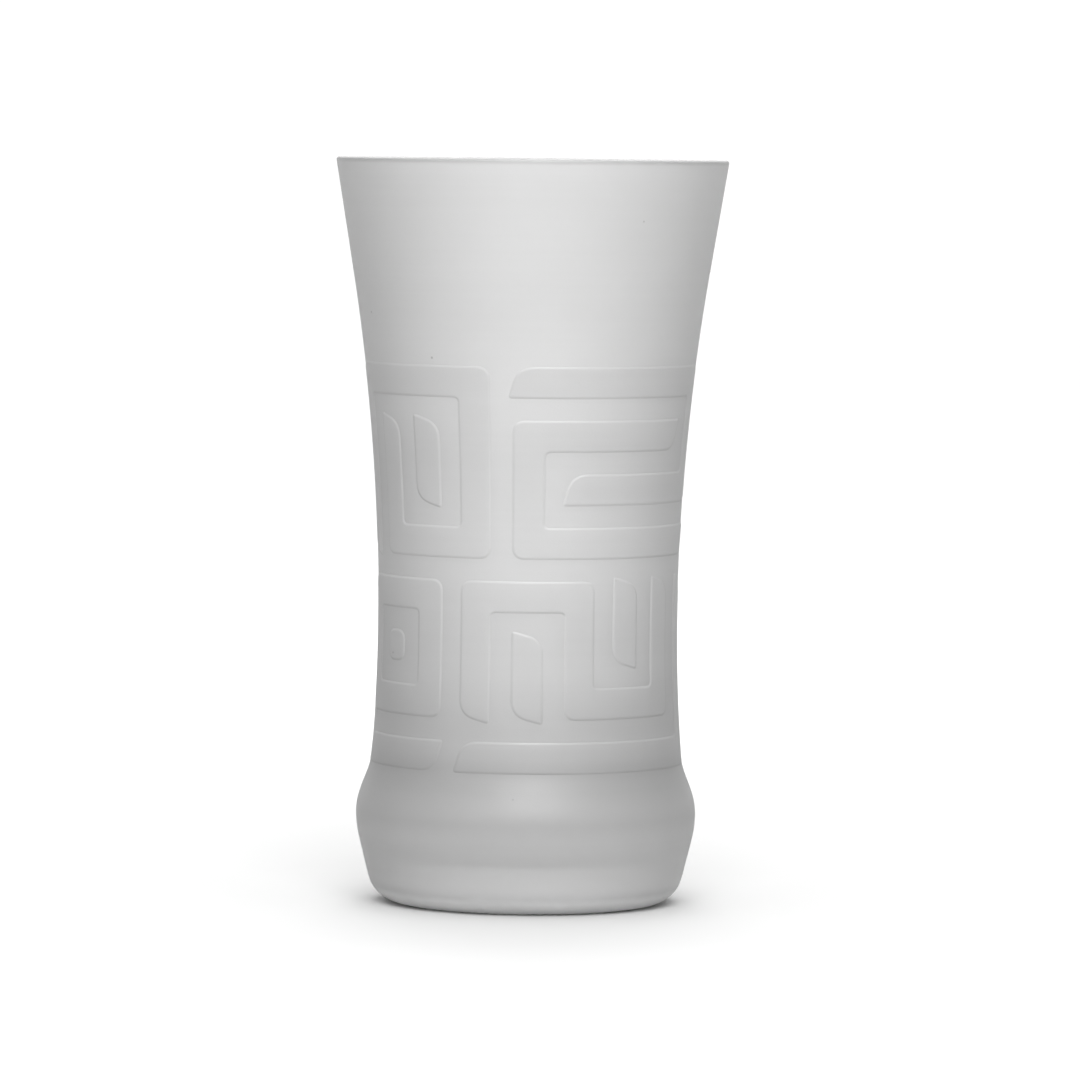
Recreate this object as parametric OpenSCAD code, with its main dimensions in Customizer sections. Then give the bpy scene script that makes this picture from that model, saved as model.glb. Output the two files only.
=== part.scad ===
// Flared tumbler of frosted glass: one thick-footed vessel with a raised band of
// abstract strokes round its waist. Millimetres, +Z up, origin at the centre of the
// face that rests on the table. The front of the glass looks along -Y.

/* [Outside of the vessel] */
// Height from the table to the top of the rim
glass_h = 156; // [130:1:190]
// Outer diameter of the rim, before its edge is rounded
rim_d = 82.4; // [66:0.2:100]
// Height of the straight lip, down from the rim to where the wall starts to curve
lip_h = 23.5; // [10:0.5:40]
// Outer diameter at the waist, the narrowest place
waist_d = 62.7; // [52:0.2:76]
// Height of the waist above the table
waist_z = 59; // [48:0.5:75]
// How much larger the radius is at the neck than at the waist
neck_swell = 1.2; // [0.2:0.1:3]
// Height of the neck, where the wall starts to swell into the bulge
neck_z = 30.6; // [26:0.2:36.6]
// Outer diameter of the bulge
bulge_d = 71.4; // [66:0.1:86]
// Height of the widest place of the bulge
bulge_z = 19; // [15:0.1:22.8]
// Height over which the bulge rounds off below its widest place
bulge_bend = 5.6; // [3:0.1:10]
// Outer diameter at which the straight side would meet the table
heel_d = 63.4; // [52:0.2:76]
// Radius of the rounded edge between the side and the foot
heel_round = 5; // [2:0.5:6.5]

/* [Foot] */
// Inner diameter of the ring that the glass stands on
foot_ring_d = 44; // [20:1:50]
// Height of the hollow under the foot
punt_h = 1.2; // [0.4:0.1:3]

/* [Inside of the vessel] */
// Thickness of the glass between the table and the inside floor
floor_t = 10; // [6:0.5:14]
// Radius of the corner between the inside floor and the wall
floor_round = 6; // [2:0.5:8]
// Thickness of the wall at the bulge
wall_low = 2.6; // [1.6:0.1:4]
// Thickness of the wall at the rim
wall_rim = 1.8; // [1.2:0.1:3]
// Radius of the melted edges of the rim
rim_round = 0.7; // [0.2:0.05:0.85]

/* [Raised band] */
// Height of the lower edge of the band above the table
band_low_z = 29.5; // [24:0.5:45]
// Height of the band, from its lower edge to its upper edge
band_h = 84; // [60:1:100]
// Width of a raised stroke, up the wall and round the waist
stroke_w = 6.6; // [3:0.1:8.4]
// How far a stroke stands out from the wall
relief_h = 0.2; // [0.1:0.05:0.6]

/* [Hidden] */
$fn = 144;
rim_r = rim_d / 2;
waist_r = waist_d / 2;
neck_r = waist_r + neck_swell;
bulge_r = bulge_d / 2;
heel_r = heel_d / 2;
foot_ring_r = foot_ring_d / 2;
lip_z = glass_h - lip_h;
curve_step = 4;       // spacing of the outline's points up the long curves
arc_step = 15;        // degrees between the points of a small round edge
glass_colour = [0.84, 0.85, 0.86, 0.75];
relief_colour = [0.93, 0.94, 0.95, 0.9];

// The band is a labyrinth of square cells, laid out twice round the glass.
band_rows = 8;
repeat_columns = 9;
sides = ["front", "back"];
front_angle = 270;    // the middle of the front repeat looks along -Y
row_pitch = (band_h - stroke_w) / (band_rows - 1);
column_pitch = 360 / (repeat_columns * len(sides));
stroke_angle = stroke_w / waist_r * 180 / PI;
cutter_margin = 5;    // how far a stroke's cutting block passes the skin on each side

// Every motif is a name and its strokes, each from one cell to another as
// [column, row, column, row], with row 0 at the top and column 0 at the left.
motifs = [
    ["key", [[0, 0, 3, 0], [3, 0, 3, 3], [1, 3, 3, 3], [1, 1, 1, 3], [0, 0, 0, 3]]],
    ["key_core", [[2, 1, 2, 2]]],
    ["outer_hook", [[4, 0, 8, 0], [8, 0, 8, 2], [5, 2, 8, 2]]],
    ["inner_hook", [[4, 1, 7, 1], [4, 1, 4, 3], [4, 3, 8, 3]]],
    ["frame", [[0, 4, 2, 4], [0, 4, 0, 6], [2, 4, 2, 6], [0, 6, 2, 6]]],
    ["frame_stud", [[1, 5, 1, 5]]],
    ["low_bar", [[0, 7, 2, 7]]],
    ["meander", [[3, 4, 3, 6], [3, 4, 5, 4], [5, 4, 5, 6], [5, 6, 7, 6], [7, 4, 7, 6]]],
    ["arch_bar", [[4, 5, 4, 6]]],
    ["cup_bar", [[6, 4, 6, 5]]],
    ["corner", [[3, 7, 8, 7], [8, 4, 8, 7]]]
];

// A rise that starts level, curves over the first stretch and then runs straight.
function bent_rise(rise, run, bend, d) =
    let (curved = min(d, bend))
    rise * (curved * curved + 2 * bend * (d - curved)) / (bend * (2 * run - bend));

// How far a round edge draws back from a plane at the given depth below its start.
function edge_drop(radius, depth) =
    depth <= 0 ? 0 : radius - sqrt(max(0, radius * radius - depth * depth));

// A blend from 0 to 1 that starts and ends level.
function ease(t) = t * t * (3 - 2 * t);

// Radius of the outer wall between the neck and the rim.
function upper_side_r(z) =
    z >= waist_z
        ? waist_r + bent_rise(rim_r - waist_r, glass_h - waist_z, lip_z - waist_z, z - waist_z)
        : waist_r + neck_swell * pow((waist_z - z) / (waist_z - neck_z), 2);

// Radius of the outer side at any height, before its edges are rounded.
function side_r(z) =
    z >= neck_z ? upper_side_r(z)
    : z >= bulge_z
        ? let (s = ease((neck_z - z) / (neck_z - bulge_z)))
          upper_side_r(z) * (1 - s) + bulge_r * s
        : bulge_r - bent_rise(bulge_r - heel_r, bulge_z, bulge_bend, bulge_z - z);

// Thickness of the wall at any height, measured level.
function wall_t(z) =
    wall_low + (wall_rim - wall_low) * (z - bulge_z) / (glass_h - bulge_z);

function rim_drop(z) = edge_drop(rim_round, z - (glass_h - rim_round));
function outer_r(z) = side_r(z) - edge_drop(heel_round, heel_round - z) - rim_drop(z);
function inner_r(z) =
    side_r(z) - wall_t(z) - edge_drop(floor_round, floor_t + floor_round - z) + rim_drop(z);

// Evenly spaced heights from one to another, the second left out.
function heights(z0, z1, step) =
    let (n = ceil((z1 - z0) / step))
    [for (i = [0 : n - 1]) z0 + (z1 - z0) * i / n];

// Heights of the points along a round edge that starts level at z0.
function edge_heights(z0, radius) =
    [for (a = [0 : arc_step : 90 - arc_step]) z0 + radius * (1 - cos(a))];

// Heights of the points along the rim's round edge, up to its top.
rim_heights = [for (a = [0 : arc_step : 90]) glass_h - rim_round + rim_round * sin(a)];

outer_heights = concat(
    edge_heights(0, heel_round),
    heights(heel_round, bulge_z - bulge_bend, curve_step),
    heights(bulge_z - bulge_bend, bulge_z, bulge_bend / 4),
    heights(bulge_z, neck_z, (neck_z - bulge_z) / 8),
    heights(neck_z, lip_z, curve_step),
    [lip_z],
    rim_heights
);
floor_top_z = floor_t + floor_round;
inner_heights = concat(
    edge_heights(floor_t, floor_round),
    heights(floor_top_z, max(floor_top_z, bulge_z) + 1, 1),
    heights(max(floor_top_z, bulge_z) + 1, neck_z, (neck_z - bulge_z) / 8),
    heights(neck_z, lip_z, curve_step),
    [lip_z],
    rim_heights
);
outer_line = [for (z = outer_heights) [outer_r(z), z]];
inner_line = [for (i = [len(inner_heights) - 1 : -1 : 0]) [inner_r(inner_heights[i]), inner_heights[i]]];

// The dome of the hollow under the foot, from the axis out to the ring.
punt_steps = 6;
punt_line = [for (i = [0 : punt_steps]) [foot_ring_r * i / punt_steps, punt_h * (1 - pow(i / punt_steps, 2))]];

// Radius of the outer wall as built, on the straight facets between its points.
function built_r(z) = lookup(z, [for (p = outer_line) [p[1], p[0]]]);

// The vessel: foot, wall and rim in one piece of glass.
module glass_body() {
    color(glass_colour)
        rotate_extrude()
            polygon(concat(punt_line, outer_line, inner_line, [[0, floor_t]]));
}

function row_low_z(row) = band_low_z + (band_rows - 1 - row) * row_pitch;
function column_mid_angle(column, side) =
    front_angle + side * 180 + (column - (repeat_columns - 1) / 2) * column_pitch;

// A stretch of skin that lies on the wall between two heights and two angles.
module skin(z0, z1, angle0, angle1) {
    levels = concat([z0], [for (z = outer_heights) if (z > z0 + 0.01 && z < z1 - 0.01) z], [z1]);
    inside = [for (z = levels) [built_r(z), z]];
    outside = [for (i = [len(levels) - 1 : -1 : 0]) [built_r(levels[i]) + relief_h, levels[i]]];
    rotate_extrude(angle = angle1 - angle0, start = angle0)
        polygon(concat(inside, outside));
}

// The block that one stroke takes out of the skin.
module stroke_block(stroke, side) {
    angle0 = column_mid_angle(stroke[0], side) - stroke_angle / 2;
    angle1 = column_mid_angle(stroke[2], side) + stroke_angle / 2;
    z0 = row_low_z(stroke[3]);
    z1 = row_low_z(stroke[1]) + stroke_w;
    near_r = min(waist_r, built_r(z0), built_r(z1)) - cutter_margin;
    far_r = max(rim_r, bulge_r) + cutter_margin;
    rotate_extrude(angle = angle1 - angle0, start = angle0)
        translate([near_r, z0])
            square([far_r - near_r, z1 - z0]);
}

// One raised motif on the front (side 0) or the back (side 1) of the glass.
module relief(strokes, side) {
    first_column = min([for (s = strokes) s[0]]);
    last_column = max([for (s = strokes) s[2]]);
    top_row = min([for (s = strokes) s[1]]);
    low_row = max([for (s = strokes) s[3]]);
    color(relief_colour)
        intersection() {
            skin(
                row_low_z(low_row),
                row_low_z(top_row) + stroke_w,
                column_mid_angle(first_column, side) - stroke_angle / 2,
                column_mid_angle(last_column, side) + stroke_angle / 2
            );
            union()
                for (s = strokes) stroke_block(s, side);
        }
}

glass_body();
for (side = [0 : len(sides) - 1])
    for (m = motifs)
        relief(m[1], side);
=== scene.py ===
# %% [markdown]
# # A frosted pint glass
#
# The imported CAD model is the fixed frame: it says how tall the glass is, how its wall runs and
# where each raised stroke sits. This script makes the good-looking glass round that frame. Every
# number is in metres, +Z is up, and the front of the glass looks along -Y.

# %% Load the frame
import math

import bpy
import numpy as np
from mathutils import Matrix, Vector


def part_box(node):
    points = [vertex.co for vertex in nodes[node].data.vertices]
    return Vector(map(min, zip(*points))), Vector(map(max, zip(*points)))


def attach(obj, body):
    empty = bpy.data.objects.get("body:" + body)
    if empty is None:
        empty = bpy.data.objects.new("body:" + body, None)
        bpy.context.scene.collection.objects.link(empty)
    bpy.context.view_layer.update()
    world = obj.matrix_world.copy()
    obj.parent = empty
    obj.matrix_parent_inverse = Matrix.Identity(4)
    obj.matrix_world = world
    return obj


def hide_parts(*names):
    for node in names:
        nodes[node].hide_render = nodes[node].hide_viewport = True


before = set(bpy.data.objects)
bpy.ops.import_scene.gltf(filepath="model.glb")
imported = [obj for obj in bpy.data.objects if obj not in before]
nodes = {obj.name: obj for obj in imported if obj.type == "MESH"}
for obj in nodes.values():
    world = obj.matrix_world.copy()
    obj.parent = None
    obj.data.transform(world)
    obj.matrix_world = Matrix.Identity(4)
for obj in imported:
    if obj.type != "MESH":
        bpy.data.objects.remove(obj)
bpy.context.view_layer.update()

MM = 0.001
glass_low, glass_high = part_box("glass_body")
glass_height = glass_high.z
print("glass height", round(glass_height / MM, 1), "mm")

# %% [markdown]
# ## The camera
#
# The glass is looked at from a little above its rim and from well away, so that the rim is
# almost a straight line while the foot shows as a curve. A long lens a metre and a half away does
# that. The camera leans down at the middle of the glass and is rolled by less than a degree.

# %% Set up the camera
camera_distance = 1.461
camera_height = glass_height + 4.55 * MM
camera_side = 2.38 * MM
lean_down = math.radians(3.31)
roll = math.radians(0.653)

camera_data = bpy.data.cameras.new("camera")
camera_data.sensor_width = 36
camera_data.lens = 232.4333
camera = bpy.data.objects.new("camera", camera_data)
bpy.context.scene.collection.objects.link(camera)
camera.location = (camera_side, -camera_distance, camera_height)
look = Matrix.Rotation(math.radians(90) - lean_down, 4, "X")
camera.matrix_world = Matrix.Translation(camera.location) @ look @ Matrix.Rotation(roll, 4, "Z")
bpy.context.scene.camera = camera
print("lens", round(camera_data.lens, 1), "mm")

# %% [markdown]
# ## Working as by hand
#
# An operator acts on whatever is selected, and the loaded CAD nodes start out selected. These
# helpers clear the selection first, go in and out of edit mode, and hand back the new piece.


# %% Helpers for operators
def deselect_everything():
    if bpy.context.mode != "OBJECT":
        bpy.ops.object.mode_set(mode="OBJECT")
    bpy.ops.object.select_all(action="DESELECT")


def edit(piece):
    """Open one piece in edit mode, with nothing else selected."""
    deselect_everything()
    piece.select_set(True)
    bpy.context.view_layer.objects.active = piece
    bpy.ops.object.mode_set(mode="EDIT")
    bpy.ops.mesh.select_all(action="SELECT")


def leave_edit():
    bpy.ops.object.mode_set(mode="OBJECT")


def apply_modifier(piece, kind, **settings):
    """Add a modifier, set it up and apply it, so that the mesh holds its result."""
    deselect_everything()
    piece.select_set(True)
    bpy.context.view_layer.objects.active = piece
    modifier = piece.modifiers.new(kind.lower(), kind)
    for name, value in settings.items():
        setattr(modifier, name, value)
    bpy.ops.object.modifier_apply(modifier=modifier.name)


def vertex_array(mesh):
    flat = np.empty(len(mesh.vertices) * 3)
    mesh.vertices.foreach_get("co", flat)
    return flat.reshape(-1, 3)


def open_edges(piece):
    """How many edges of a mesh don't have exactly two faces: none on a closed solid."""
    uses = {}
    for polygon in piece.data.polygons:
        for key in polygon.edge_keys:
            uses[key] = uses.get(key, 0) + 1
    return sum(1 for count in uses.values() if count != 2)


# %% [markdown]
# ## The outline of the vessel
#
# A tumbler is a turned shape, so one half outline describes all of it. The CAD vessel is made
# of rings, and each ring is one point of the outline. The faces that look away from the axis
# give the outer line, those that look towards it give the inner line, and those that look down
# give the hollow under the foot.


# %% Read the outline from the CAD vessel
steep = 0.02         # a face whose normal leans this far out or in belongs to a side
facing_down = -0.9
highest_under = 3 * MM
axis_radius = 1e-6


def read_outline(node):
    mesh = node.data
    places = vertex_array(mesh)
    ring = np.stack([np.hypot(places[:, 0], places[:, 1]), places[:, 2]], axis=1)
    outer, inner, under = set(), set(), set()
    for polygon in mesh.polygons:
        middle, normal = polygon.center, polygon.normal
        outward = (middle.x * normal.x + middle.y * normal.y) / math.hypot(middle.x, middle.y)
        if normal.z < facing_down and middle.z < highest_under:
            group = under
        elif outward > steep:
            group = outer
        elif outward < -steep:
            group = inner
        else:
            continue
        for index in polygon.vertices:
            radius, height = ring[index]
            group.add((round(float(radius), 6), round(float(height), 6)))
    outer = sorted(outer, key=lambda p: p[1])
    inner = sorted(inner, key=lambda p: -p[1])
    under = sorted(p for p in under if p[0] < outer[0][0] - MM)
    return under, outer, inner


under_line, outer_line, inner_line = read_outline(nodes["glass_body"])
floor_height = inner_line[-1][1]
half_outline = under_line + outer_line + inner_line + [(0.0, floor_height)]
if half_outline[0][0] > axis_radius:
    half_outline.insert(0, (0.0, half_outline[0][1]))
print(len(under_line), "points under,", len(outer_line), "outside,", len(inner_line), "inside")
foot_ring = [round(point[0] / MM, 2) for point in (under_line[-1], outer_line[0])]
print("floor at", round(floor_height / MM, 2), "mm, foot ring radii", foot_ring, "mm")

# %% [markdown]
# ## The vessel
#
# The glass is round about its axis, so it is modelled the way a lathe would cut it: the half
# outline is drawn point by point with extrude, and spin sweeps it round the axis. Spin
# leaves doubled points at the seam and on the axis, which are merged before the normals are made
# to agree. One level of subdivision then rounds the facets of the outline and of the sweep.

# %% Draw the half outline and spin it
turn_steps = 128
merge_distance = 0.002 * MM


def draw_line(name, points):
    """A wire of extruded points in the XZ plane, begun from one corner of a plane."""
    deselect_everything()
    bpy.ops.mesh.primitive_plane_add(size=MM, location=(0, 0, 0))
    wire = bpy.context.object
    wire.name = wire.data.name = name
    edit(wire)
    bpy.ops.mesh.merge(type="CENTER")
    here = Vector((points[0][0], 0, points[0][1]))
    bpy.ops.transform.translate(value=here)
    for radius, height in points[1:]:
        there = Vector((radius, 0, height))
        bpy.ops.mesh.extrude_region_move(TRANSFORM_OT_translate={"value": there - here})
        here = there
    leave_edit()
    return wire


def turn(piece, steps):
    edit(piece)
    bpy.ops.mesh.spin(steps=steps, angle=2 * math.pi, center=(0, 0, 0), axis=(0, 0, 1))
    bpy.ops.mesh.select_all(action="SELECT")
    bpy.ops.mesh.remove_doubles(threshold=merge_distance)
    bpy.ops.mesh.normals_make_consistent(inside=False)
    leave_edit()


vessel = draw_line("glass_vessel", half_outline)
turn(vessel, turn_steps)
apply_modifier(vessel, "SUBSURF", levels=1, render_levels=1)
print("vessel:", len(vessel.data.polygons), "faces,", open_edges(vessel), "open edges")

# %% [markdown]
# ## The plan of the raised band
#
# Round the waist runs a labyrinth of broad strokes that stand 0.13 mm proud of the wall. It
# is planned flat, as a strip of square cells nine across and eight high, and laid twice round
# the glass. Each motif is a walk from cell to cell. The cells' size and place come from the CAD
# band: its lowest and highest edges, and the size of one single-cell stud.

# %% Plan the cells
motifs = {
    "key": [(0, 3), (0, 0), (3, 0), (3, 3), (1, 3), (1, 1)],
    "key_core": [(2, 1), (2, 2)],
    "outer_hook": [(4, 0), (8, 0), (8, 2), (5, 2)],
    "inner_hook": [(7, 1), (4, 1), (4, 3), (8, 3)],
    "frame": [(0, 4), (2, 4), (2, 6), (0, 6), (0, 4)],
    "frame_stud": [(1, 5)],
    "low_bar": [(0, 7), (2, 7)],
    "meander": [(3, 6), (3, 4), (5, 4), (5, 6), (7, 6), (7, 4)],
    "arch_bar": [(4, 5), (4, 6)],
    "cup_bar": [(6, 4), (6, 5)],
    "corner": [(3, 7), (8, 7), (8, 4)],
}
rows, columns, repeats = 8, 9, 2
waist_above = 40 * MM    # the bulge lies below this height
proud = 0.13 * MM

band_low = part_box("relief_low_bar_front")[0].z
band_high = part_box("relief_key_front")[1].z
stud_low, stud_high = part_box("relief_frame_stud_front")
stroke = stud_high.z - stud_low.z
row_pitch = (band_high - band_low - stroke) / (rows - 1)
column_turn = 2 * math.pi / (columns * repeats)
waist_radius = min(radius for radius, height in outer_line if height > waist_above)
column_pitch = column_turn * waist_radius
print("stroke", round(stroke / MM, 2), "mm, row pitch", round(row_pitch / MM, 2), "mm")


def cell_place(column, row):
    """Middle of a cell on the flat plan, with x round the waist from the middle of the front."""
    x = (column - (columns - 1) / 2) * column_pitch
    y = band_low + stroke / 2 + (rows - 1 - row) * row_pitch
    return np.array([x, y])


# %% [markdown]
# ## From a walk to an outline
#
# A stroke is a ribbon of constant width along its walk. The ribbon's two sides give a polygon,
# and each corner of it is replaced by an arc: generous outside a bend, tighter inside. At the
# free ends one corner is swept much wider than the other, as a broad pen leaves it.

# %% Draw the ribbons
outside_bend = 2.6 * MM
inside_bend = 1.1 * MM
swept_end = 3.4 * MM
plain_end = 0.9 * MM
pen_slant = 0.9 * MM
curve_steps = 7
stub = np.array([1e-9, 0])    # gives a single cell a walk with a direction


def rounded(points, radii):
    """A closed polygon with each corner replaced by a curve that starts its radius away."""
    outline = []
    count = len(points)
    for i, (point, radius) in enumerate(zip(points, radii)):
        arrive = point - points[i - 1]
        leave = points[(i + 1) % count] - point
        start = point - arrive / np.linalg.norm(arrive) * radius
        end = point + leave / np.linalg.norm(leave) * radius
        for step in range(curve_steps + 1):
            t = step / curve_steps
            outline.append((1 - t) ** 2 * start + 2 * t * (1 - t) * point + t**2 * end)
    return outline


def left_of(direction):
    return np.array([-direction[1], direction[0]])


def cross(a, b):
    return a[0] * b[1] - a[1] * b[0]


def ribbon(walk):
    """Outline of an open walk, anticlockwise round its right side and back along its left."""
    stops = [cell_place(*cell) for cell in walk]
    if len(stops) == 1:
        stops = [stops[0] - stub, stops[0] + stub]
    ways = [(b - a) / np.linalg.norm(b - a) for a, b in zip(stops, stops[1:])]
    half = stroke / 2
    right, left, right_radii, left_radii = [], [], [], []
    for i, stop in enumerate(stops):
        slanted = len(walk) > 1
        if i == 0:
            base, side = stop - ways[0] * half, left_of(ways[0])
            lean = -ways[0] * pen_slant
            right_radii.append(plain_end if slanted else outside_bend)
            left_radii.append(swept_end if slanted else outside_bend)
        elif i == len(stops) - 1:
            base, side = stop + ways[-1] * half, left_of(ways[-1])
            lean = -ways[-1] * pen_slant
            right_radii.append(swept_end if slanted else outside_bend)
            left_radii.append(plain_end if slanted else outside_bend)
        else:
            base, side = stop, left_of(ways[i - 1]) + left_of(ways[i])
            lean = np.zeros(2)
            turns_left = cross(ways[i - 1], ways[i]) > 0
            right_radii.append(outside_bend if turns_left else inside_bend)
            left_radii.append(inside_bend if turns_left else outside_bend)
        lean = lean if slanted else np.zeros(2)
        right.append(base - side * half + lean)
        left.append(base + side * half - lean)
    return rounded(right + left[::-1], right_radii + left_radii[::-1])


def ring(walk):
    """Outer and inner outline of a closed walk round a square."""
    stops = [cell_place(*cell) for cell in walk[:-1]]
    middle = sum(stops) / len(stops)
    half = stroke / 2
    outer = [stop + np.sign(stop - middle) * half for stop in stops]
    inner = [stop - np.sign(stop - middle) * half for stop in stops]
    return rounded(outer, [outside_bend] * len(stops)), rounded(inner, [inside_bend] * len(stops))


# %% [markdown]
# ## A raised stroke
#
# Each motif starts as a flat disc whose points are pulled onto the outline. It is extruded up
# through the wall's surface, inset with a little height so that its sides slope, and its top
# edge is bevelled soft, as etching leaves it. Then the plate is cut into narrow strips, because
# only points can follow the curve of the wall when the plate is wrapped round it.

# %% Model the plates
sunk = 0.04 * MM
slope = 0.42 * MM
soft_edge = 0.12 * MM
strip = 1.3 * MM
level = 0.01 * MM       # heights closer than this count as the same
clear_of_edge = 0.01    # share of a strip that keeps a cut off the plate's edge


def flat_disc(name, outline, filled):
    deselect_everything()
    bpy.ops.mesh.primitive_circle_add(
        vertices=len(outline), radius=stroke, fill_type="NGON" if filled else "NOTHING"
    )
    disc = bpy.context.object
    disc.name = disc.data.name = name
    for vertex, place in zip(disc.data.vertices, outline):
        vertex.co = (place[0], place[1], -sunk)
    return disc


def flat_motif(name, walk):
    if walk[0] == walk[-1] and len(walk) > 1:
        outer, inner = ring(walk)
        disc = flat_disc(name, outer, filled=False)
        hole = flat_disc(name + "_hole", inner, filled=False)
        disc.select_set(True)
        bpy.context.view_layer.objects.active = disc
        bpy.ops.object.join()
        edit(disc)
        bpy.ops.mesh.bridge_edge_loops()
        bpy.ops.mesh.normals_make_consistent(inside=False)
        leave_edit()
        if disc.data.polygons[0].normal.z < 0:
            edit(disc)
            bpy.ops.mesh.flip_normals()
            leave_edit()
    else:
        disc = flat_disc(name, ribbon(walk), filled=True)
    return disc


def raise_motif(piece):
    """Give a flat motif its buried part, its sloping sides and its soft top edge."""
    edit(piece)
    bpy.ops.mesh.extrude_region_move(TRANSFORM_OT_translate={"value": (0, 0, sunk)})
    leave_edit()
    top = [p.index for p in piece.data.polygons if p.center.z > -level]
    edit(piece)
    bpy.ops.mesh.select_mode(type="FACE")
    bpy.ops.mesh.select_all(action="DESELECT")
    leave_edit()
    for index in top:
        piece.data.polygons[index].select = True
    bpy.ops.object.mode_set(mode="EDIT")
    bpy.ops.mesh.inset(thickness=slope, depth=proud, use_even_offset=True)
    bpy.ops.mesh.region_to_loop()
    bpy.ops.mesh.bevel(offset=soft_edge, segments=2, affect="EDGES")
    leave_edit()


def cut_strips(piece):
    """Slice a flat piece every strip width both ways, so that it can bend."""
    places = vertex_array(piece.data)
    low, high = places.min(0), places.max(0)
    edit(piece)
    for axis, spacing in ((0, strip), (1, 2 * strip)):
        first = math.ceil(low[axis] / spacing + clear_of_edge)
        last = math.floor(high[axis] / spacing - clear_of_edge)
        normal = [0, 0, 0]
        normal[axis] = 1
        for i in range(first, last + 1):
            cut_place = [0, 0, 0]
            cut_place[axis] = i * spacing
            bpy.ops.mesh.select_all(action="SELECT")
            bpy.ops.mesh.bisect(plane_co=cut_place, plane_no=normal)
    leave_edit()


wall_heights = np.array([height for radius, height in outer_line])
wall_radii = np.array([radius for radius, height in outer_line])


def wrap(piece, extra_turn):
    """Bend a flat piece round the wall: x becomes the turn round the axis, z the radius."""
    places = vertex_array(piece.data)
    angle = places[:, 0] / waist_radius - math.pi / 2 + extra_turn
    radius = np.interp(places[:, 1], wall_heights, wall_radii) + places[:, 2]
    wrapped = np.stack([radius * np.cos(angle), radius * np.sin(angle), places[:, 1]], axis=1)
    piece.data.vertices.foreach_set("co", wrapped.ravel())
    piece.data.update()


strokes = {}
for name, walk in motifs.items():
    plate = flat_motif("stroke_" + name + "_front", walk)
    raise_motif(plate)
    cut_strips(plate)
    back = plate.copy()
    back.data = plate.data.copy()
    back.name = back.data.name = "stroke_" + name + "_back"
    bpy.context.scene.collection.objects.link(back)
    wrap(plate, 0)
    wrap(back, math.pi)
    strokes[plate.name] = plate
    strokes[back.name] = back
    print(plate.name, len(plate.data.polygons), "faces,", open_edges(plate), "open edges")


# %% [markdown]
# ## Sharp slopes, smooth faces
#
# Flat shading would show every strip, and smooth shading alone would smear the crisp foot of a
# stroke into the wall. Smoothing by angle rounds the light over the shallow turns and leaves the
# steep ones sharp. The strokes stay pieces of their own, each sunk a hair into the wall.

# %% Shade by angle
crease = math.radians(28)


def shade(piece):
    deselect_everything()
    piece.select_set(True)
    bpy.context.view_layer.objects.active = piece
    bpy.ops.object.shade_smooth_by_angle(angle=crease)


for piece in [vessel, *strokes.values()]:
    shade(piece)
print(len(strokes), "strokes and the vessel shaded")

# %% [markdown]
# ## The frosting
#
# The surface is etched all over, so light goes through but no picture does. That is a rough
# glass shader, a little over half of it transmission, under a thin rough coat. The coat's tint
# darkens the wall where it is seen aslant, which the shader does by itself.
#
# Two ramps run up the glass. One sets the tint and the other how much coat there is. Their stops
# were set from how this glass's greys compared with the real glass's at each height in this
# scene's light. So they are partly painted light and shade, and aren't a property of the glass
# alone: paler over the waist and at the very foot, darker at the bulge, the heel and the rim, and
# with less coat low down and near the rim. On top lie slow clouds, fine level streaks and a few
# specks, and a grain gives the etch its tooth.

# %% Frosted glass material
# The grey up the glass holds painted light and shade as well as the glass's own tone.
tint_and_painted_shade_by_height = [    # millimetres above the foot, and the grey there
    (0, 1.0),
    (2, 0.90),
    (4, 0.52),
    (8, 0.50),
    (14, 0.60),
    (20, 0.48),
    (26, 0.42),
    (36, 0.60),
    (53, 0.82),
    (74, 0.90),
    (100, 0.86),
    (130, 0.71),
    (154.8, 0.61),
    (156, 0.40),
]
# The coat's weight up the glass paints shade too: less coat, so less darkening aslant, low down
# and near the rim.
coat_and_painted_shade_by_height = [    # millimetres above the foot, and the coat's weight there
    (0, 0),
    (8, 0.1),
    (15, 0.4),
    (30, 0.65),
    (52, 1),
    (90, 1),
    (130, 0.7),
    (156, 0.5),
]
shader_values = {
    "IOR": 1.5,
    "Transmission Weight": 0.6,
    "Coat Roughness": 0.6,
    "Coat IOR": 1.2,
    "Coat Tint": (0.7, 0.7, 0.7, 1),
}
roughness, roughness_change = 0.5, 0.03
cloudiness, streakiness = 0.015, 0.008
noise_low, noise_high = 0.3, 0.7    # the middle part of a noise texture's values
cloud_scale, grain_scale, speck_scale = 42, 2600, 95
streak_stretch = (12, 12, 900)      # far finer up the glass than round it
speck_inside, speck_outside, speck_tint = 0.018, 0.03, 0.55
grain_strength, grain_depth = 0.25, 0.05 * MM


def spread(tree, value, low, high, at_low, at_high):
    """Map a texture's values from low..high to at_low..at_high, held at both ends."""
    node = tree.nodes.new("ShaderNodeMapRange")
    for socket, number in zip(node.inputs[1:5], (low, high, at_low, at_high)):
        socket.default_value = number
    tree.links.new(value, node.inputs["Value"])
    return node.outputs["Result"]


def product(tree, first, second):
    """Multiply an output by another output or by a number."""
    node = tree.nodes.new("ShaderNodeMath")
    node.operation = "MULTIPLY"
    tree.links.new(first, node.inputs[0])
    if isinstance(second, (int, float)):
        node.inputs[1].default_value = second
    else:
        tree.links.new(second, node.inputs[1])
    return node.outputs["Value"]


def height_ramp(tree, share, values_by_height):
    """A grey that follows a list of heights and values up the glass."""
    ramp = tree.nodes.new("ShaderNodeValToRGB")
    ramp.color_ramp.interpolation = "EASE"
    stops = ramp.color_ramp.elements
    while len(stops) < len(values_by_height):
        stops.new(0.5)
    for stop, (height, value) in zip(stops, values_by_height):
        stop.position = height * MM / glass_height
        stop.color = (value, value, value, 1)
    tree.links.new(share, ramp.inputs["Fac"])
    return ramp.outputs["Color"]


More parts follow.
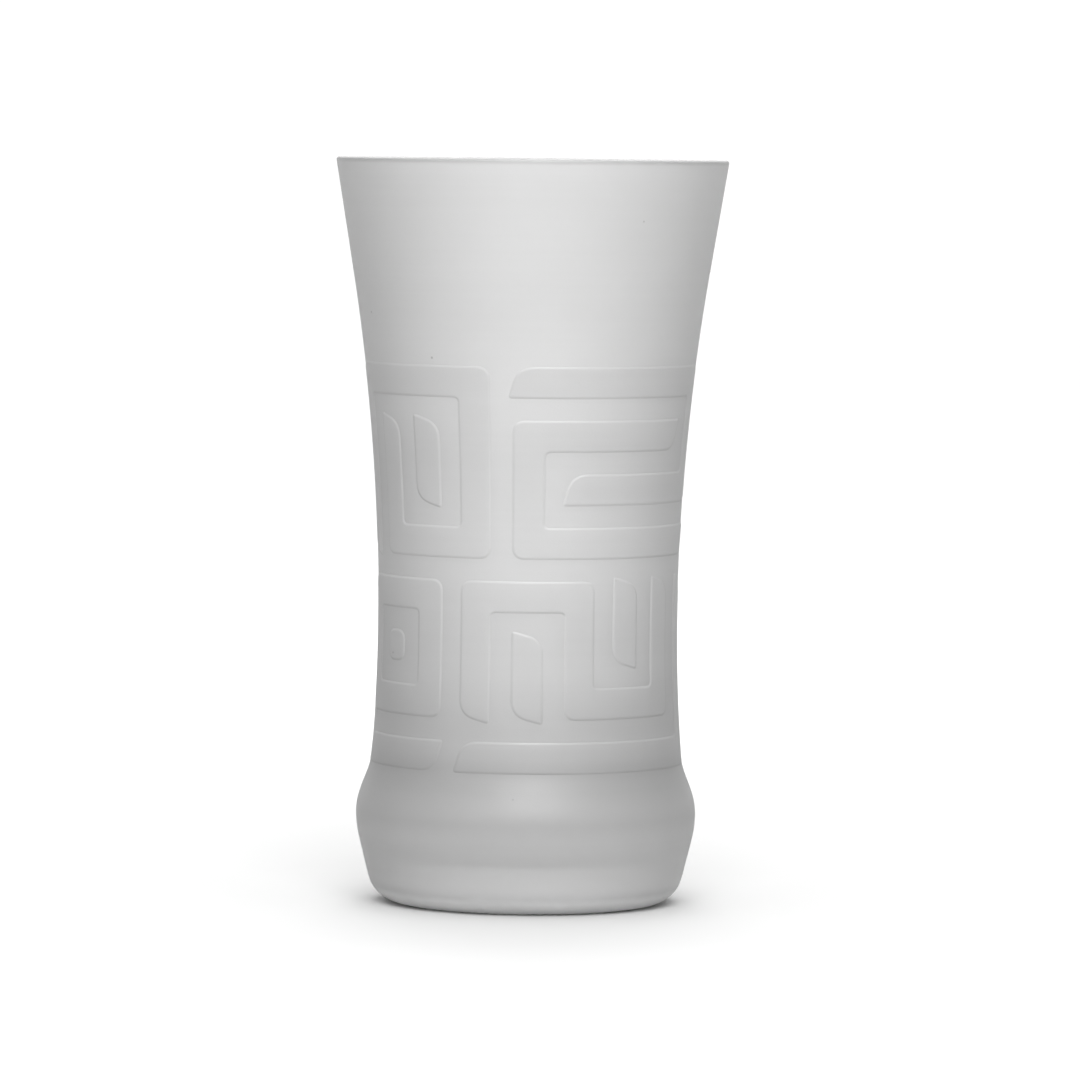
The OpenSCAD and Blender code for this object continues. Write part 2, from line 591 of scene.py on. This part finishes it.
def noise(tree, place, scale, detail):
    texture = tree.nodes.new("ShaderNodeTexNoise")
    texture.inputs["Scale"].default_value = scale
    texture.inputs["Detail"].default_value = detail
    tree.links.new(place, texture.inputs["Vector"])
    return texture.outputs["Fac"]


def frosted_material(name, painted_shade_tint_scale, painted_shade_coat_scale):
    """Etched glass, with its tint and its coat each scaled by a number, which paints shade on a
    copy.
    """
    material = bpy.data.materials.new(name)
    material.use_nodes = True
    tree = material.node_tree
    tree.nodes.clear()
    output = tree.nodes.new("ShaderNodeOutputMaterial")
    glass = tree.nodes.new("ShaderNodeBsdfPrincipled")
    tree.links.new(glass.outputs["BSDF"], output.inputs["Surface"])
    for socket, value in shader_values.items():
        glass.inputs[socket].default_value = value

    place = tree.nodes.new("ShaderNodeTexCoord").outputs["Object"]
    tall = tree.nodes.new("ShaderNodeSeparateXYZ")
    tree.links.new(place, tall.inputs[0])
    share = tree.nodes.new("ShaderNodeMath")
    share.operation = "DIVIDE"
    share.inputs[1].default_value = glass_height
    tree.links.new(tall.outputs["Z"], share.inputs[0])
    coat = height_ramp(tree, share.outputs["Value"], coat_and_painted_shade_by_height)
    tree.links.new(product(tree, coat, painted_shade_coat_scale), glass.inputs["Coat Weight"])

    clouds = noise(tree, place, cloud_scale, 4)
    cloud_tone = spread(tree, clouds, noise_low, noise_high, 1 - cloudiness, 1 + cloudiness)
    squeeze = tree.nodes.new("ShaderNodeMapping")
    squeeze.inputs["Scale"].default_value = streak_stretch
    tree.links.new(place, squeeze.inputs["Vector"])
    streaks = noise(tree, squeeze.outputs["Vector"], 1, 3)
    streak_tone = spread(tree, streaks, noise_low, noise_high, 1 - streakiness, 1 + streakiness)
    specks = tree.nodes.new("ShaderNodeTexVoronoi")
    specks.inputs["Scale"].default_value = speck_scale
    tree.links.new(place, specks.inputs["Vector"])
    speck_tone = spread(
        tree, specks.outputs["Distance"], speck_inside, speck_outside, speck_tint, 1
    )
    # The tint carries painted shade: the height ramp, and the scale given to a copy.
    tint = product(tree, height_ramp(tree, share.outputs["Value"], tint_and_painted_shade_by_height), painted_shade_tint_scale)
    for tone in (cloud_tone, streak_tone, speck_tone):
        tint = product(tree, tint, tone)
    tree.links.new(tint, glass.inputs["Base Color"])

    rough, smooth = roughness + roughness_change, roughness - roughness_change
    etch = spread(tree, clouds, noise_low, noise_high, rough, smooth)
    tree.links.new(etch, glass.inputs["Roughness"])
    bump = tree.nodes.new("ShaderNodeBump")
    bump.inputs["Strength"].default_value = grain_strength
    bump.inputs["Distance"].default_value = grain_depth
    tree.links.new(noise(tree, place, grain_scale, 2), bump.inputs["Height"])
    tree.links.new(bump.outputs["Normal"], glass.inputs["Normal"])
    return material


def dress(piece, material):
    piece.data.materials.clear()
    piece.data.materials.append(material)


dress(vessel, frosted_material("etched_frosting", 1.0, 1.0))
# The strokes' copy of the frosting has its tint and coat scaled a little: painted shade that
# evens the strokes' tone with the wall's under these lamps.
relief_frosting_with_painted_shade = frosted_material("etched_relief", 0.985, 0.97)
for piece in strokes.values():
    dress(piece, relief_frosting_with_painted_shade)
print(len(tint_and_painted_shade_by_height), "tint stops and", len(coat_and_painted_shade_by_height), "coat stops up the glass")

# %% [markdown]
# ## Floor and light
#
# Frosted glass takes its tone from what stands round it, so most of its light comes from a soft
# white world that is dimmer at the sides and brighter overhead. The camera sees plain white in
# its place. One broad lamp in front and above picks out the slopes of the strokes, and a second
# behind lights the glass from the back; neither is seen. The floor is a pale sheet without a
# pattern, but its grey is painted light and shade: darkest near the glass, which deepens the
# glass's shadow there, and rising away from it, so that the far floor, which the lamps hardly
# reach, is as white as the world.

# %% Floor, world and lamps
floor_side = 14
near_floor, far_floor = 0.08, 0.6              # distances from the axis
# The floor's grey: painted shade near the glass and painted light far off.
near_floor_painted_shade, far_floor_painted_light = 0.31, 0.45
seen_white = 1.05
room_front, room_back = 1.35, 1.4              # brightness of the world by direction
room_middle, room_sides = 1.0, 0.0
room_overhead = 2.7
lamp_aim = (0, 0, 0.08)

deselect_everything()
bpy.ops.mesh.primitive_plane_add(size=floor_side, location=(0, 0, 0))
floor = bpy.context.object
floor.name = "floor"
paper = bpy.data.materials.new("floor_paper")
paper.use_nodes = True
paper_tree = paper.node_tree
paper_shader = paper_tree.nodes["Principled BSDF"]
paper_shader.inputs["Roughness"].default_value = 0.9
paper_place = paper_tree.nodes.new("ShaderNodeTexCoord")
paper_distance = paper_tree.nodes.new("ShaderNodeVectorMath")
paper_distance.operation = "LENGTH"
paper_tree.links.new(paper_place.outputs["Object"], paper_distance.inputs[0])
paper_painted_light_and_shade = spread(
    paper_tree, paper_distance.outputs["Value"], near_floor, far_floor, near_floor_painted_shade,
    far_floor_painted_light,
)
paper_tree.links.new(paper_painted_light_and_shade, paper_shader.inputs["Base Color"])
floor.data.materials.append(paper)

world = bpy.data.worlds.new("pale_room")
bpy.context.scene.world = world
world.use_nodes = True
room = world.node_tree
room.nodes.clear()


def room_node(kind, **settings):
    node = room.nodes.new(kind)
    for name, value in settings.items():
        setattr(node, name, value)
    return node


def room_math(operation, first, second):
    """A Math node whose two inputs are numbers or other nodes' outputs."""
    node = room_node("ShaderNodeMath", operation=operation)
    for socket, value in zip(node.inputs, (first, second)):
        if isinstance(value, (int, float)):
            socket.default_value = value
        else:
            room.links.new(value, socket)
    return node.outputs["Value"]


def room_range(value, low, high, at_low, at_high):
    """Blend smoothly from one brightness to another as a direction turns."""
    node = room_node("ShaderNodeMapRange", interpolation_type="SMOOTHSTEP")
    for socket, number in zip(node.inputs[1:5], (low, high, at_low, at_high)):
        socket.default_value = number
    room.links.new(value, node.inputs["Value"])
    return node.outputs["Result"]


direction = room_node("ShaderNodeTexCoord").outputs["Generated"]
split = room_node("ShaderNodeSeparateXYZ")
room.links.new(direction, split.inputs[0])
depth_light = room_range(split.outputs["Y"], -1, 0.2, room_front, room_back)
side_square = room_math("MULTIPLY", split.outputs["X"], split.outputs["X"])
side_light = room_range(side_square, 0, 1, room_middle, room_sides)
round_light = room_math("MULTIPLY", depth_light, side_light)
overhead_share = room_range(split.outputs["Z"], 0.1, 0.9, 0, 1)
overhead = room_math("MULTIPLY", overhead_share, room_overhead)
round_share = room_math("SUBTRACT", 1, overhead_share)
room_light = room_math("ADD", room_math("MULTIPLY", round_light, round_share), overhead)
lit_room = room_node("ShaderNodeBackground")
room.links.new(room_light, lit_room.inputs["Strength"])
seen_room = room_node("ShaderNodeBackground")
for background in (lit_room, seen_room):
    background.inputs["Color"].default_value = (1, 1, 1, 1)
seen_room.inputs["Strength"].default_value = seen_white
room_mix = room_node("ShaderNodeMixShader")
room.links.new(room_node("ShaderNodeLightPath").outputs["Is Camera Ray"], room_mix.inputs[0])
room.links.new(lit_room.outputs[0], room_mix.inputs[1])
room.links.new(seen_room.outputs[0], room_mix.inputs[2])
room.links.new(room_mix.outputs[0], room_node("ShaderNodeOutputWorld").inputs["Surface"])


def soft_lamp(name, place, size, power):
    """A round lamp that looks at the middle of the glass and isn't seen itself."""
    lamp_data = bpy.data.lights.new(name, "AREA")
    lamp_data.shape = "DISK"
    lamp_data.size = size
    lamp_data.energy = power
    lamp = bpy.data.objects.new(name, lamp_data)
    bpy.context.scene.collection.objects.link(lamp)
    lamp_axis = Vector(lamp_aim) - Vector(place)
    turn_to = lamp_axis.to_track_quat("-Z", "Y").to_matrix().to_4x4()
    lamp.matrix_world = Matrix.Translation(place) @ turn_to
    lamp.visible_camera = False


soft_lamp("front_softbox", (0.03, -0.55, 0.5), 0.45, 6.2)
soft_lamp("back_softbox", (0, 0.7, 0.85), 0.6, 5.4)

bpy.context.scene.view_settings.view_transform = "Standard"
print(len(bpy.data.lights), "lamps, floor", floor_side, "m wide")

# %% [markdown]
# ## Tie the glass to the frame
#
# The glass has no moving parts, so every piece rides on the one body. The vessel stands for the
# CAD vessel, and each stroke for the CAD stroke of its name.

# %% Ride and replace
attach(vessel, "root")
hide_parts("glass_body")
for name, piece in strokes.items():
    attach(piece, "root")
    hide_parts(name.replace("stroke_", "relief_"))
